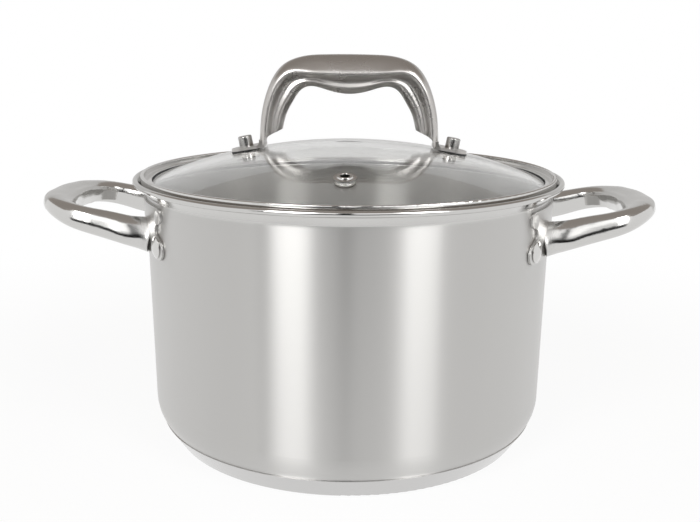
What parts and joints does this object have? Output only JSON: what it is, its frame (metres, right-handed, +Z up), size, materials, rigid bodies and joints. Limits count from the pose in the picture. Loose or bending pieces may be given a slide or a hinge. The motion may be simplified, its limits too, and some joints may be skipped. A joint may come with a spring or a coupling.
{
  "type": "saucepan with glass lid",
  "caption": "Deep stainless steel pot with two loop handles, a flared lip, a capsule base and a domed glass lid with a bridge handle and a steam vent.",
  "frame": {"origin": "centre of the flat underside of the base", "axes": "+Z up along the pot's axis, +X through the two side handles and along the lid's bridge handle, -Y towards the lid's steam vent"},
  "size_m": [0.3626, 0.2546, 0.2281],
  "materials": {
    "brushed_steel": "satin, brushed around the axis",
    "polished_steel": "mirror polished",
    "handle_steel": "polished",
    "satin_steel": "satin",
    "plain_steel": "bright drawn",
    "base_aluminium": "plain, sealed inside the base",
    "lid_glass": "clear tempered glass",
    "black_silicone": "soft satin",
    "clear_silicone": "translucent soft satin"
  },
  "bodies": {
    "pot": {"pot_body": "brushed_steel", "base_capsule": "polished_steel", "base_core": "base_aluminium", "side_handle_left": "handle_steel", "side_handle_right": "handle_steel", "rivet_left_front": "polished_steel", "rivet_left_rear": "polished_steel", "rivet_right_front": "polished_steel", "rivet_right_rear": "polished_steel"},
    "lid": {"lid_glass": "lid_glass", "lid_rim_band": "polished_steel", "lid_rim_gasket": "black_silicone", "vent_eyelet": "polished_steel", "vent_seal": "clear_silicone", "vent_washer": "plain_steel", "lid_handle": "satin_steel", "handle_gasket_left": "black_silicone", "cap_nut_left": "plain_steel", "screw_left": "plain_steel", "glass_bush_left": "clear_silicone", "soft_washer_left": "clear_silicone", "steel_washer_left": "plain_steel", "handle_gasket_right": "black_silicone", "cap_nut_right": "plain_steel", "screw_right": "plain_steel", "glass_bush_right": "clear_silicone", "soft_washer_right": "clear_silicone", "steel_washer_right": "plain_steel"}
  },
  "joints": [
    {"name": "lid_lift", "type": "slide", "parent": "pot", "child": "lid", "axis": [0, 0, 1], "range_m": [0, 0.15]}
  ]
}
